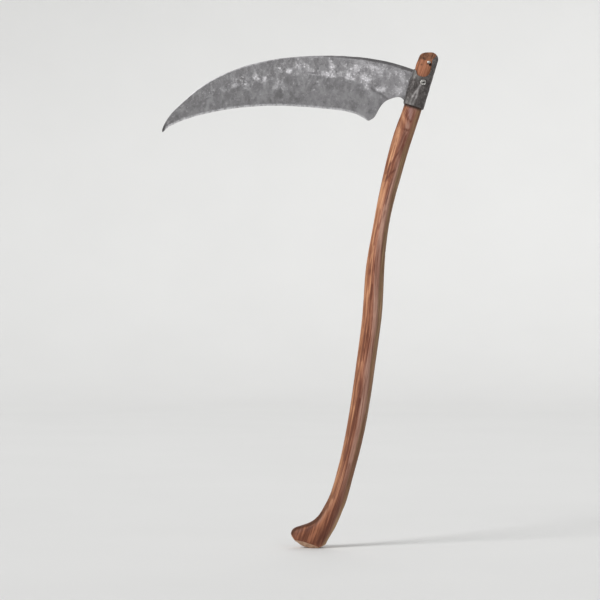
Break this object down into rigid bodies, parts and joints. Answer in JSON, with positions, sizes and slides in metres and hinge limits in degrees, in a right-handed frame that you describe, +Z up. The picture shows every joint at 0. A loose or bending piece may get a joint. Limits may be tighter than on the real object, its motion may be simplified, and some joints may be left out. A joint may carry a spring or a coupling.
{
  "type": "hand sickle",
  "caption": "Long-hafted hand sickle: curved forged blade with a hooked heel, iron head socket with a back strap, and a carved wooden haft with a flared butt.",
  "frame": {"origin": "middle of the haft's grip, on the haft's centreline", "axes": "+Z up, from the butt to the head; +X to the right, away from the blade's tip; +Y from the front to the back, square to the flat of the blade"},
  "size_m": [0.4419, 0.0343, 0.7921],
  "materials": {
    "oiled_wood": "oiled, satin",
    "blade_steel": "forged and ground, patinated",
    "socket_iron": "hammered, dark",
    "wedge_wood": "split, dry",
    "fastener_iron": "worn bright"
  },
  "bodies": {
    "root": {"haft": "oiled_wood", "blade": "blade_steel", "socket": "socket_iron", "tang_wedge": "wedge_wood", "socket_rivet": "fastener_iron", "rivet_rove": "fastener_iron", "head_nails": "fastener_iron"}
  },
  "joints": []
}
